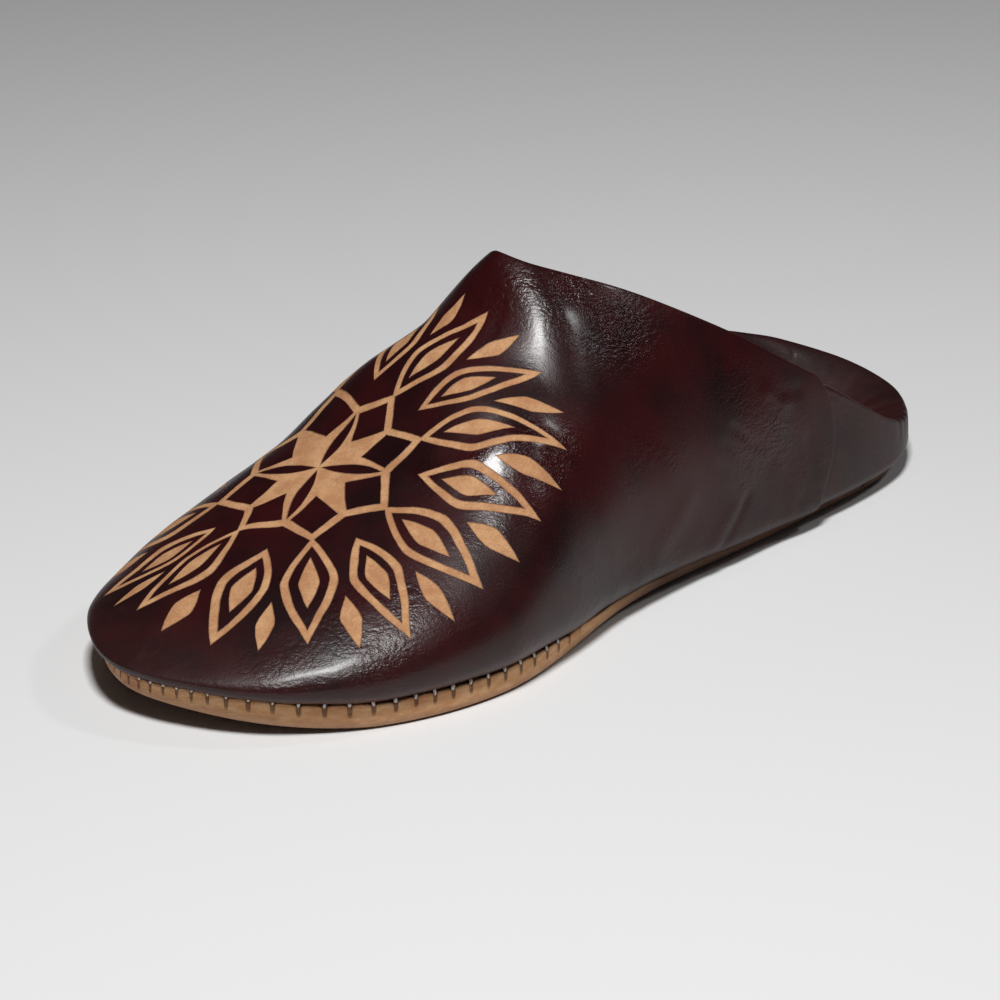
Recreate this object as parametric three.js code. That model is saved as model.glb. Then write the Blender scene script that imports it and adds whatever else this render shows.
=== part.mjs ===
// A babouche: a backless leather slipper with a carved vamp and a trodden-down heel.
// Millimetres, +Z up, toe at -Y, heel at +Y, +X the outer side of a left foot.
import * as THREE from 'three';

// Driving dimensions of the slipper.
const soleLength = 266;
const ballWidth = 99;
const instepHeight = 87;
const peakAlong = 0.466;
const lapAlong = 0.765;
const leatherWall = 1.6;
const lapStep = 1.3;
const fitGap = 0.3;

// Sizes of the outsole, its turned-up rim and the insole.
const soleFloor = 2.6;
const rimWidth = 1.6;
const insoleThickness = 2.5;
const toeSpring = 5.0;
const waistLift = 1.0;

// Plan of the sole at each section: outer and inner are shares of half the ball width.
const planTable = [
  { at: 'toe tip', along: 0.0, outer: -0.04, inner: 0.04 },
  { at: 'toe corner', along: 0.045, outer: 0.53, inner: 0.58 },
  { at: 'toes', along: 0.14, outer: 0.92, inner: 0.88 },
  { at: 'ball', along: 0.275, outer: 1.06, inner: 0.94 },
  { at: 'waist', along: 0.5, outer: 0.74, inner: 0.7 },
  { at: 'heel seat', along: 0.765, outer: 0.57, inner: 0.57 },
  { at: 'heel corner', along: 0.925, outer: 0.42, inner: 0.45 },
  { at: 'heel round', along: 0.98, outer: 0.2, inner: 0.25 },
  { at: 'heel', along: 1.0, outer: 0.0, inner: 0.0 },
];

// Shape of the upper over each section. ridge, outer and inner are shares of the instep
// height: the ridge's own, and the collar's on the foot's outer and inner side. round is
// the exponent of the crown, widest the height of the widest line, lean the sideways
// place of the ridge, bulge how far the wall stands out past the sole, and rim the
// height of the sole's turned-up edge.
const lastTable = [
  { along: -0.03, ridge: 0.18, round: 2.2, outer: 3.0, inner: 3.0, widest: 8, lean: -2, bulge: 3.8, rim: 4.0 },
  { along: 0.05, ridge: 0.265, round: 2.3, outer: 2.6, inner: 2.6, widest: 9.8, lean: -3, bulge: 3.5, rim: 6.8 },
  { along: 0.15, ridge: 0.362, round: 2.4, outer: 2.2, inner: 2.2, widest: 12.8, lean: -5, bulge: 3.0, rim: 7.0 },
  { along: 0.28, ridge: 0.53, round: 2.35, outer: 1.7, inner: 1.7, widest: 14.5, lean: -7, bulge: 2.8, rim: 7.1 },
  { along: 0.36, ridge: 0.735, round: 2.05, outer: 1.3, inner: 1.3, widest: 14, lean: -8, bulge: 3.2, rim: 6.1 },
  { along: 0.42, ridge: 0.85, round: 1.65, outer: 1.1, inner: 1.1, widest: 13, lean: -7.5, bulge: 3.8, rim: 5.1 },
  { along: 0.466, ridge: 1.0, round: 1.38, outer: 1.0, inner: 1.0, widest: 12, lean: -7, bulge: 4.3, rim: 4.4 },
  { along: 0.48, ridge: 1.02, round: 1.38, outer: 0.98, inner: 0.95, widest: 11.5, lean: -7, bulge: 4.5, rim: 4.3 },
  { along: 0.55, ridge: 1.06, round: 1.5, outer: 0.89, inner: 0.83, widest: 10.5, lean: -6.5, bulge: 5.0, rim: 3.8 },
  { along: 0.65, ridge: 1.04, round: 1.6, outer: 0.725, inner: 0.655, widest: 9.5, lean: -5, bulge: 5.4, rim: 3.4 },
  { along: 0.8, ridge: 0.9, round: 2.0, outer: 0.432, inner: 0.462, widest: 8.5, lean: -2, bulge: 5.2, rim: 3.3 },
  { along: 0.95, ridge: 0.75, round: 2.2, outer: 0.19, inner: 0.31, widest: 7.5, lean: 0, bulge: 3.4, rim: 3.3 },
  { along: 1.03, ridge: 0.65, round: 2.4, outer: 0.16, inner: 0.195, widest: 7, lean: 0, bulge: 2.2, rim: 3.3 },
];
// Across this width the collar's height passes from the inner side's to the outer side's.
const collarBlend = 30;

// The wall's sections fan out from two poles on the centre line.
const toePole = 45;
const heelPole = 40;
// The vamp's rear edge leans back toward the heel as it rises, and bows back halfway up.
const lapLean = 8;
const lapBow = 3.5;
const lapReach = 0.1;
const lapBlend = 0.06;

// The back is trodden down: it folds over a crest and lies as a flap over the insole.
const foldRadius = 2.4;
const flapPole = 72;
const flapStart = 4;
// Its free edge crosses the heel seat here, bowed forward at the sides.
const flapEdgeAlong = 0.835;
const flapEdgeBow = 3;
const flapFallsBy = 0.7;

// How finely each form is faceted.
const frontStations = 24;
const sideStations = 9;
const backStations = 9;
const bulgeRows = 4;
const wallRows = 10;
const crestRows = 3;
const flapRows = 5;
const soleStations = 60;

const toeY = -soleLength / 2;
const alongOf = (y) => (y - toeY) / soleLength;

// A smooth curve through a table's column that never overshoots its rows.
function monotone(rows, key, column) {
  const x = rows.map((row) => row[key]);
  const y = rows.map((row) => row[column]);
  const last = x.length - 1;
  const h = x.slice(1).map((value, i) => value - x[i]);
  const slope = h.map((value, i) => (y[i + 1] - y[i]) / value);
  const tangent = x.map((_, i) => {
    if (i === 0) return slope[0];
    if (i === last) return slope[last - 1];
    if (slope[i - 1] * slope[i] <= 0) return 0;
    const w1 = 2 * h[i] + h[i - 1];
    const w2 = h[i] + 2 * h[i - 1];
    return (w1 + w2) / (w1 / slope[i - 1] + w2 / slope[i]);
  });
  return (at) => {
    const value = Math.min(Math.max(at, x[0]), x[last]);
    let i = 0;
    while (i < last - 1 && value > x[i + 1]) i += 1;
    const t = (value - x[i]) / h[i];
    const a = y[i] * (1 + 2 * t) * (1 - t) ** 2 + tangent[i] * h[i] * t * (1 - t) ** 2;
    const b = y[i + 1] * t * t * (3 - 2 * t) + tangent[i + 1] * h[i] * t * t * (t - 1);
    return a + b;
  };
}

const lastColumn = {};
for (const name of ['ridge', 'round', 'outer', 'inner', 'widest', 'lean', 'bulge', 'rim']) {
  const curve = monotone(lastTable, 'along', name);
  lastColumn[name] = (y) => curve(alongOf(y));
}

// Height of the ground side of the sole: sprung at the toe, a little hollow at the waist.
const liftTable = [
  { along: -0.05, share: 1.25, waist: 0 },
  { along: 0.0, share: 1.0, waist: 0 },
  { along: 0.05, share: 0.55, waist: 0 },
  { along: 0.1, share: 0.2, waist: 0 },
  { along: 0.15, share: 0.0, waist: 0 },
  { along: 0.34, share: 0.0, waist: 0 },
  { along: 0.52, share: 0.0, waist: 1 },
  { along: 0.7, share: 0.0, waist: 0 },
  { along: 1.1, share: 0.0, waist: 0 },
];
const springCurve = monotone(liftTable, 'along', 'share');
const waistCurve = monotone(liftTable, 'along', 'waist');
const lift = (y) => toeSpring * springCurve(alongOf(y)) + waistLift * waistCurve(alongOf(y));

// The closed outline of the sole, from the toe tip round the outer side and back.
const half = ballWidth / 2;
const planPoint = (row, side) => {
  const x = side > 0 ? row.outer * half : -row.inner * half;
  return new THREE.Vector3(x, toeY + row.along * soleLength, 0);
};
const innerRows = planTable.slice(1, -1).reverse();
const outlineCurve = new THREE.CatmullRomCurve3(
  [...planTable.map((row) => planPoint(row, 1)), ...innerRows.map((row) => planPoint(row, -1))],
  true,
  'centripetal',
);
const stepsPerPoint = 32;
const outline = outlineCurve.getPoints(outlineCurve.points.length * stepsPerPoint);
const runs = [0];
for (let i = 1; i < outline.length; i += 1) {
  runs.push(runs[i - 1] + outline[i].distanceTo(outline[i - 1]));
}
const perimeter = runs[runs.length - 1];
const heelRun = runs[(planTable.length - 1) * stepsPerPoint];

function outlineAt(run) {
  const value = ((run % perimeter) + perimeter) % perimeter;
  let low = 0;
  let high = runs.length - 1;
  while (high - low > 1) {
    const middle = (low + high) >> 1;
    if (runs[middle] <= value) low = middle;
    else high = middle;
  }
  const t = (value - runs[low]) / (runs[high] - runs[low]);
  return outline[low].clone().lerp(outline[high], t);
}

// A point of the outline at u from the toe (0) to the heel (1) on one side, moved outward.
function edge(side, u, outward) {
  const run = side > 0 ? u * heelRun : perimeter - u * (perimeter - heelRun);
  const tangent = outlineAt(run + 1).sub(outlineAt(run - 1)).normalize();
  const point = outlineAt(run);
  point.x += tangent.y * outward;
  point.y -= tangent.x * outward;
  return point;
}

// The point of the ridge that the section at u rises to, the same for both sides.
function ridgeFoot(u) {
  const middle = (edge(1, u, 0).y + edge(-1, u, 0).y) / 2;
  const y = toeY + toePole + alongOf(middle) * (soleLength - toePole - heelPole);
  return new THREE.Vector3(lastColumn.lean(y), y, 0);
}

// The upper's outer face: rho is 1 at the widest line and 0 at the ridge.
function wallPoint(side, u, rho) {
  const foot = ridgeFoot(u);
  const wide = edge(side, u, 0);
  const out = edge(side, u, lastColumn.bulge(wide.y));
  const point = foot.lerp(out, rho);
  const low = lastColumn.widest(point.y) + lift(point.y);
  const high = lastColumn.ridge(point.y) * instepHeight;
  const rise = Math.sqrt(Math.max(0, 1 - rho ** lastColumn.round(point.y)));
  point.z = low + (high - low) * rise;
  return point;
}

function collarHeight({ x, y }) {
  const across = THREE.MathUtils.smoothstep(x - lastColumn.lean(y), -collarBlend / 2, collarBlend / 2);
  return THREE.MathUtils.lerp(lastColumn.inner(y), lastColumn.outer(y), across) * instepHeight;
}

// Where the section at u reaches the collar, less a drop that the fold's radius takes.
function collarRho(side, u, drop) {
  let inside = 0;
  let outside = 1;
  const steps = 60;
  for (let i = steps; i >= 0; i -= 1) {
    const point = wallPoint(side, u, i / steps);
    if (point.z > collarHeight(point) - drop) {
      inside = i / steps;
      outside = (i + 1) / steps;
      break;
    }
    if (i === 0) return 0;
  }
  for (let i = 0; i < 30; i += 1) {
    const middle = (inside + outside) / 2;
    const point = wallPoint(side, u, middle);
    if (point.z > collarHeight(point) - drop) inside = middle;
    else outside = middle;
  }
  return inside;
}

// u where the middle of the two sides, or the ridge, passes a given place along the slipper.
function solveU(valueAt, target) {
  let low = 0;
  let high = 1;
  for (let i = 0; i < 40; i += 1) {
    const middle = (low + high) / 2;
    if (valueAt(middle) < target) low = middle;
    else high = middle;
  }
  return low;
}
const peakU = solveU((u) => ridgeFoot(u).y, toeY + peakAlong * soleLength);
const lapU = solveU((u) => edge(1, u, 0).y + edge(-1, u, 0).y, 2 * (toeY + lapAlong * soleLength));
const lapEnd = lapU + 0.4 / heelRun;
const flapU = lapEnd + flapStart / heelRun;

// Stations from toe to heel: one stands on the peak, a close pair makes the lap's step.
const stations = [];
for (let i = 0; i < frontStations; i += 1) stations.push((peakU * i) / frontStations);
for (let i = 0; i < sideStations; i += 1) {
  stations.push(peakU + ((lapU - peakU) * i) / sideStations);
}
stations.push(lapU, lapEnd);
for (let i = 0; i <= backStations; i += 1) {
  stations.push(flapU + ((1 - flapU) * i) / backStations);
}

const insoleTop = soleFloor + fitGap + insoleThickness;
const flapRest = insoleTop + fitGap + leatherWall;
const heelHalf = edge(1, lapU, lastColumn.bulge(toeY + lapAlong * soleLength)).x;

// The trodden-down back at one station: over the crest, then down to the insole.
function flapPoints(side, u, rho) {
  const start = wallPoint(side, u, rho);
  const pole = new THREE.Vector3(0, toeY + soleLength - flapPole, 0);
  const inward = pole.sub(start).setZ(0).normalize();
  const edgeY = toeY + flapEdgeAlong * soleLength - flapEdgeBow * (start.x / heelHalf) ** 2;
  const run = Math.max((start.y - edgeY) / -inward.y - foldRadius, 1);
  const crest = start.z + foldRadius;
  const share = (u - lapEnd) / (1 - lapEnd);
  const drop = (crest - flapRest) * THREE.MathUtils.smoothstep(share, -0.1, flapFallsBy);
  const points = [];
  for (let i = 1; i <= crestRows; i += 1) {
    const angle = (Math.PI / 2) * (i / crestRows);
    const point = start.clone().addScaledVector(inward, foldRadius * (1 - Math.cos(angle)));
    point.z = start.z + foldRadius * Math.sin(angle);
    points.push(point);
  }
  for (let i = 1; i <= flapRows; i += 1) {
    const along = i / flapRows;
    const point = start.clone().addScaledVector(inward, foldRadius + run * along);
    point.z = crest - drop * THREE.MathUtils.smoothstep(along, 0, 1);
    points.push(point);
  }
  return points;
}

// One section of the upper's outer face, from its hidden bottom edge to the free edge.
function upperColumn(side, u) {
  const tucked = -(rimWidth + fitGap);
  const column = [];
  const bottom = edge(side, u, tucked);
  bottom.z = soleFloor + fitGap + lift(bottom.y);
  column.push(bottom);
  const seamZ = lastColumn.rim(bottom.y) + fitGap + lift(bottom.y);
  column.push(bottom.clone().setZ(seamZ));
  const out = lastColumn.bulge(bottom.y);
  const widest = wallPoint(side, u, 1).z;
  for (let i = 1; i <= bulgeRows; i += 1) {
    const angle = (Math.PI / 2) * (i / bulgeRows);
    const point = edge(side, u, tucked + (out - tucked) * Math.sin(angle));
    point.z = widest - (widest - seamZ) * Math.cos(angle);
    column.push(point);
  }
  const onLap = Math.exp(-(((u - lapU) / lapReach) ** 2));
  const folded = u > lapEnd;
  const topU = Math.min(u + (lapLean / heelRun) * onLap, u + (1 - u) * 0.5);
  const top = u <= peakU ? 0 : collarRho(side, topU, folded ? foldRadius : 0);
  for (let i = 1; i <= wallRows; i += 1) {
    const share = i / wallRows;
    const rho = 1 - (1 - top) * (1 - Math.cos((Math.PI / 2) * share));
    const bow = (lapBow / heelRun) * onLap * ((1 - u) / (1 - lapU)) * Math.sin(Math.PI * share);
    column.push(wallPoint(side, u + (topU - u) * share + bow, rho));
  }
  if (folded) column.push(...flapPoints(side, topU, top));
  return column;
}

// Welds columns of points into one surface and gives its vertices and triangles.
function weave(columns) {
  const points = [];
  const index = new Map();
  const weld = (point) => {
    const key = point.toArray().map((value) => Math.round(value * 500)).join();
    if (!index.has(key)) {
      index.set(key, points.length);
      points.push(point);
    }
    return index.get(key);
  };
  const grid = columns.map((column) => column.map(weld));
  const rows = Math.max(...grid.map((column) => column.length));
  const triangles = [];
  const add = (a, b, c) => {
    if (a !== b && b !== c && c !== a) triangles.push([a, b, c]);
  };
  const at = (column, row) => column[Math.min(row, column.length - 1)];
  grid.forEach((column, k) => {
    const next = grid[(k + 1) % grid.length];
    for (let row = 0; row < rows - 1; row += 1) {
      const a = at(column, row);
      const b = at(next, row);
      const c = at(next, row + 1);
      const d = at(column, row + 1);
      add(a, b, c);
      add(a, c, d);
    }
  });
  return { points, triangles, grid };
}

// Mean normals, each corner weighted by its angle. Their length falls at a sharp bend.
function meanNormals(points, triangles) {
  const normals = points.map(() => new THREE.Vector3());
  const weights = points.map(() => 0);
  for (const triangle of triangles) {
    const [a, b, c] = triangle.map((i) => points[i]);
    const normal = b.clone().sub(a).cross(c.clone().sub(a)).normalize();
    triangle.forEach((i, corner) => {
      const one = points[triangle[(corner + 1) % 3]].clone().sub(points[i]);
      const two = points[triangle[(corner + 2) % 3]].clone().sub(points[i]);
      const angle = one.angleTo(two);
      normals[i].addScaledVector(normal, angle);
      weights[i] += angle;
    });
  }
  normals.forEach((normal, i) => normal.divideScalar(weights[i]));
  return normals;
}

// The two loops where an open surface ends, as directed edges.
function openEdges(triangles) {
  const seen = new Set(triangles.flatMap(([a, b, c]) => [`${a},${b}`, `${b},${c}`, `${c},${a}`]));
  return [...seen].map((name) => name.split(',').map(Number)).filter(([a, b]) => !seen.has(`${b},${a}`));
}

function toGeometry(points, triangles) {
  const geometry = new THREE.BufferGeometry();
  const positions = points.flatMap((point) => point.toArray());
  geometry.setAttribute('position', new THREE.Float32BufferAttribute(positions, 3));
  geometry.setIndex(triangles.flat());
  geometry.computeVertexNormals();
  return geometry;
}

// How far the vamp stands proud of the back piece that it laps over.
function lapHeight(u, row) {
  if (u > lapU) return 0;
  const aboveSeam = THREE.MathUtils.smoothstep(row, 2, 1 + bulgeRows);
  return lapStep * aboveSeam * THREE.MathUtils.smoothstep(u, lapU - lapBlend, lapU);
}

// The upper: vamp, back and trodden-down flap in one wall of leather, open at both ends.
function makeUpper() {
  const ring = [...stations.map((u) => [1, u])];
  ring.push(...stations.slice(1, -1).reverse().map((u) => [-1, u]));
  const { points, triangles, grid } = weave(ring.map(([side, u]) => upperColumn(side, u)));
  const normals = meanNormals(points, triangles);
  const sharpest = 0.6;
  const inner = points.map((point, i) => {
    const length = Math.max(normals[i].length(), sharpest);
    return point.clone().addScaledVector(normals[i], -leatherWall / length ** 2);
  });
  const outer = points.map((point) => point.clone());
  const raised = new Set();
  ring.forEach(([, u], k) => grid[k].forEach((vertex, row) => {
    if (raised.has(vertex)) return;
    raised.add(vertex);
    outer[vertex].addScaledVector(normals[vertex], lapHeight(u, row));
  }));
  const count = points.length;
  const faces = [...triangles];
  for (const [a, b, c] of triangles) faces.push([a + count, c + count, b + count]);
  for (const [p, q] of openEdges(triangles)) {
    faces.push([q, p, p + count], [q, p + count, q + count]);
  }
  return toGeometry([...outer, ...inner], faces);
}

// A slab that follows the sole's plan: its side is a profile of insets and heights, and
// its underside and top are strips across from one side to the other.
function makeSlab(profile) {
  const ring = [];
  for (let i = 0; i <= soleStations; i += 1) ring.push([1, i / soleStations]);
  for (let i = soleStations - 1; i > 0; i -= 1) ring.push([-1, i / soleStations]);
  const { points, triangles, grid } = weave(ring.map(([side, u]) => profile(side, u)));
  const close = (row, upward) => {
    const loop = grid.map((column) => column[row]);
    const add = (a, b, c) => triangles.push(upward ? [a, b, c] : [a, c, b]);
    for (let i = 0; i < soleStations; i += 1) {
      const right = loop[i];
      const nextRight = loop[i + 1];
      const left = loop[(ring.length - i) % ring.length];
      const nextLeft = loop[ring.length - i - 1];
      if (right !== left) add(left, right, nextRight);
      if (nextLeft !== nextRight) add(left, nextRight, nextLeft);
    }
  };
  close(0, false);
  close(grid[0].length - 1, true);
  return toGeometry(points, triangles);
}

const place = (side, u, inset, height) => {
  const point = edge(side, u, -inset);
  return point.setZ(height + lift(point.y));
};

// The outsole: a leather slab with a rounded lower edge and a rim turned up round the upper.
function outsoleProfile(side, u) {
  const rim = lastColumn.rim(edge(side, u, 0).y);
  const rows = [
    { inset: 2.2, height: 0 },
    { inset: 0.7, height: 0.5 },
    { inset: 0, height: 1.8 },
    { inset: 0, height: rim - 0.8 },
    { inset: 0.4, height: rim },
    { inset: rimWidth, height: rim },
    { inset: rimWidth, height: soleFloor },
  ];
  return rows.map((row) => place(side, u, row.inset, row.height));
}

// The insole lies on the outsole, inside the foot of the wall.
function insoleProfile(side, u) {
  const inset = rimWidth + leatherWall + 3 * fitGap;
  const edgeRound = 0.5;
  const rows = [
    { inset, height: soleFloor + fitGap },
    { inset, height: insoleTop - edgeRound },
    { inset: inset + edgeRound, height: insoleTop },
  ];
  return rows.map((row) => place(side, u, row.inset, row.height));
}

const glazedLeather = new THREE.MeshStandardMaterial({ color: 0x2c1214, roughness: 0.3, metalness: 0 });
const tannedLeather = new THREE.MeshStandardMaterial({ color: 0xcd9669, roughness: 0.7, metalness: 0 });
const insoleLeather = new THREE.MeshStandardMaterial({ color: 0x8a5a3a, roughness: 0.75, metalness: 0 });

const group = new THREE.Group();
function addPart(name, geometry, material) {
  const mesh = new THREE.Mesh(geometry, material);
  mesh.name = name;
  group.add(mesh);
}

addPart('outsole', makeSlab(outsoleProfile), tannedLeather);
addPart('insole', makeSlab(insoleProfile), insoleLeather);
addPart('upper', makeUpper(), glazedLeather);

// The origin is the middle of the slipper's footprint, on the floor.
const middle = new THREE.Box3().setFromObject(group).getCenter(new THREE.Vector3());
group.position.set(-middle.x, -middle.y, 0);

export default group;
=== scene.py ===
import math
import bpy
import numpy as np
from mathutils import Matrix, Vector


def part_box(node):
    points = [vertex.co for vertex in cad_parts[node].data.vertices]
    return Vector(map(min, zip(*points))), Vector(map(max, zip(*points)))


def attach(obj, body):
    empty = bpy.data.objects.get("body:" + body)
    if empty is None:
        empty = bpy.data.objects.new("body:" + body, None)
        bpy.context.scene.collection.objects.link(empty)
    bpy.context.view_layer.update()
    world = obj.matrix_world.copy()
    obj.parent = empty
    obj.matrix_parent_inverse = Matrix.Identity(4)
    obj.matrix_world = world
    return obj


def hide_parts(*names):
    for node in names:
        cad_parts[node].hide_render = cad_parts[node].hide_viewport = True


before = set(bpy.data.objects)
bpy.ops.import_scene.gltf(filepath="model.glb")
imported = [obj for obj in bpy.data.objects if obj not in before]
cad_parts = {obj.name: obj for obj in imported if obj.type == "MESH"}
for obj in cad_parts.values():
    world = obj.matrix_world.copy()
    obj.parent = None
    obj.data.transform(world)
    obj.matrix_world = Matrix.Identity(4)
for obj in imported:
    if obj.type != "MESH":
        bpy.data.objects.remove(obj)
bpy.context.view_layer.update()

# A hand-made babouche. The pieces are worked out in millimetres on the frame's own axes:
# toe at -Y, heel at +Y, +X the outer side of a left foot.
millimetre = 0.001

slipper = {
    "soleLength": 266, "ballWidth": 99, "instepHeight": 87, "peakAlong": 0.466, "lapAlong": 0.765,
    "wall": 1.6, "lapStep": 1.3, "gap": 0.3,
    "floor": 2.6, "rimWidth": 1.6, "insole": 2.5, "toeSpring": 5.0, "waistLift": 1.0,
    "toePole": 45, "heelPole": 40, "lapLean": 8, "lapBow": 3.5, "lapReach": 0.1, "lapBlend": 0.06,
    "lapPast": 0.4,
    "foldRadius": 2.4, "flapPole": 72, "flapEdgeAlong": 0.835, "flapEdgeBow": 3, "flapFallsBy": 0.7,
    "collarBlend": 30, "seamGap": 0.05,
}

# Plan of the sole: shares of half the ball width, toe tip to heel.
planRows = {
    "along": [0.0, 0.045, 0.14, 0.275, 0.5, 0.765, 0.925, 0.98, 1.0],
    "outer": [-0.04, 0.53, 0.92, 1.06, 0.74, 0.57, 0.42, 0.2, 0.0],
    "inner": [0.04, 0.58, 0.88, 0.94, 0.7, 0.57, 0.45, 0.25, 0.0],
}
outlineSteps = 200

# Ridge and collar (outer and inner side) are shares of the instep height, round is the
# power of the section's curve, and the rest is in millimetres.
lastRows = {
    "along": [-0.03, 0.05, 0.15, 0.28, 0.36, 0.42, 0.466, 0.48, 0.55, 0.65, 0.8, 0.95, 1.03],
    "ridge": [0.18, 0.265, 0.362, 0.53, 0.735, 0.85, 1.0, 1.02, 1.06, 1.04, 0.9, 0.75, 0.65],
    "round": [2.2, 2.3, 2.4, 2.35, 2.05, 1.65, 1.38, 1.38, 1.5, 1.6, 2.0, 2.2, 2.4],
    "outer": [3.0, 2.6, 2.2, 1.7, 1.3, 1.1, 1.0, 0.98, 0.89, 0.725, 0.432, 0.19, 0.16],
    "inner": [3.0, 2.6, 2.2, 1.7, 1.3, 1.1, 1.0, 0.95, 0.83, 0.655, 0.462, 0.31, 0.195],
    "widest": [8, 9.8, 12.8, 14.5, 14, 13, 12, 11.5, 10.5, 9.5, 8.5, 7.5, 7],
    "lean": [-2, -3, -5, -7, -8, -7.5, -7, -7, -6.5, -5, -2, 0, 0],
    "bulge": [3.8, 3.5, 3.0, 2.8, 3.2, 3.8, 4.3, 4.5, 5.0, 5.4, 5.2, 3.4, 2.2],
    "rim": [4.0, 6.8, 7.0, 7.1, 6.1, 5.1, 4.4, 4.3, 3.8, 3.4, 3.3, 3.3, 3.3],
}
# How much of the toe spring and of the waist's lift each place has.
liftRows = {
    "along": [-0.05, 0.0, 0.05, 0.1, 0.15, 0.34, 0.52, 0.7, 1.1],
    "spring": [1.25, 1.0, 0.55, 0.2, 0.0, 0.0, 0.0, 0.0, 0.0],
    "waist": [0.0, 0.0, 0.0, 0.0, 0.0, 0.0, 1.0, 0.0, 0.0],
}


# A smooth curve through rows that never overshoots them.
def monotone(xRows, yRows):
    x = np.array(xRows, float)
    y = np.array(yRows, float)
    h = np.diff(x)
    slope = np.diff(y) / h
    tangent = np.zeros(len(x))
    tangent[0], tangent[-1] = slope[0], slope[-1]
    for i in range(1, len(x) - 1):
        if slope[i - 1] * slope[i] > 0:
            w1 = 2 * h[i] + h[i - 1]
            w2 = h[i] + 2 * h[i - 1]
            tangent[i] = (w1 + w2) / (w1 / slope[i - 1] + w2 / slope[i])

    def curve(at):
        value = np.clip(at, x[0], x[-1])
        i = np.clip(np.searchsorted(x, value, side="left") - 1, 0, len(x) - 2)
        t = (value - x[i]) / h[i]
        rising = y[i] * (1 + 2 * t) * (1 - t) ** 2 + tangent[i] * h[i] * t * (1 - t) ** 2
        return rising + y[i + 1] * t * t * (3 - 2 * t) + tangent[i + 1] * h[i] * t * t * (t - 1)

    return curve


def smoothstep(value, low, high):
    t = np.clip((value - low) / (high - low), 0, 1)
    return t * t * (3 - 2 * t)


toeY = -slipper["soleLength"] / 2
lastCurves = {name: monotone(lastRows["along"], rows) for name, rows in lastRows.items()}
springCurve = monotone(liftRows["along"], liftRows["spring"])
waistCurve = monotone(liftRows["along"], liftRows["waist"])


def alongOf(y):
    return (y - toeY) / slipper["soleLength"]


def yAt(along):
    return toeY + along * slipper["soleLength"]


def last(name, y):
    return lastCurves[name](alongOf(y))


def lift(y):
    along = alongOf(y)
    return slipper["toeSpring"] * springCurve(along) + slipper["waistLift"] * waistCurve(along)


# The closed outline of the sole, a centripetal spline from the toe round the outer side.
def traceOutline():
    half = slipper["ballWidth"] / 2
    right = [(out * half, yAt(along)) for along, out in zip(planRows["along"], planRows["outer"])]
    left = [(-out * half, yAt(along)) for along, out in zip(planRows["along"], planRows["inner"])]
    points = np.array(right + left[-2:0:-1])
    count = len(points)
    t = np.arange(outlineSteps)[:, None] / outlineSteps
    pieces = []
    for i in range(count):
        p0, p1, p2, p3 = (points[(i + k) % count] for k in (-1, 0, 1, 2))
        d0, d1, d2 = (math.sqrt(np.linalg.norm(b - a)) for a, b in ((p0, p1), (p1, p2), (p2, p3)))
        t1 = ((p1 - p0) / d0 - (p2 - p0) / (d0 + d1) + (p2 - p1) / d1) * d1
        t2 = ((p2 - p1) / d1 - (p3 - p1) / (d1 + d2) + (p3 - p2) / d2) * d1
        bend = -3 * p1 + 3 * p2 - 2 * t1 - t2
        twist = 2 * p1 - 2 * p2 + t1 + t2
        pieces.append(p1 + t1 * t + bend * t ** 2 + twist * t ** 3)
    return np.concatenate(pieces + [points[:1]])


outline = traceOutline()
runs = np.concatenate([[0], np.cumsum(np.linalg.norm(np.diff(outline, axis=0), axis=1))])
perimeter = runs[-1]
heelRun = runs[(len(planRows["along"]) - 1) * outlineSteps]


def outlineAt(run):
    value = np.mod(run, perimeter)
    return np.stack([np.interp(value, runs, outline[:, k]) for k in (0, 1)], axis=-1)


# A point of the outline at u from the toe (0) to the heel (1) on one side, moved outward.
def edge(side, u, outward):
    run = np.where(side > 0, u * heelRun, perimeter - u * (perimeter - heelRun))
    tangent = outlineAt(run + 1) - outlineAt(run - 1)
    tangent /= np.linalg.norm(tangent, axis=-1, keepdims=True)
    away = np.stack([tangent[..., 1], -tangent[..., 0]], axis=-1)
    return outlineAt(run) + away * np.asarray(outward)[..., None]


def ridgeFoot(u):
    middle = (edge(1, u, 0 * u)[..., 1] + edge(-1, u, 0 * u)[..., 1]) / 2
    span = slipper["soleLength"] - slipper["toePole"] - slipper["heelPole"]
    y = toeY + slipper["toePole"] + alongOf(middle) * span
    return np.stack([last("lean", y), y], axis=-1)


# The upper's outer face: rho is 1 at the widest line and 0 at the ridge.
def wallPoint(side, u, rho):
    foot = ridgeFoot(u)
    wide = edge(side, u, 0 * u)
    out = edge(side, u, last("bulge", wide[..., 1]))
    plan = foot + (out - foot) * rho[..., None]
    y = plan[..., 1]
    low = last("widest", y) + lift(y)
    high = last("ridge", y) * slipper["instepHeight"]
    rise = np.sqrt(np.maximum(0, 1 - np.maximum(rho, 0) ** last("round", y)))
    return np.concatenate([plan, (low + (high - low) * rise)[..., None]], axis=-1)


def collarHeight(point):
    blend = slipper["collarBlend"] / 2
    across = smoothstep(point[..., 0] - last("lean", point[..., 1]), -blend, blend)
    inner, outer = last("inner", point[..., 1]), last("outer", point[..., 1])
    return (inner + (outer - inner) * across) * slipper["instepHeight"]


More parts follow.
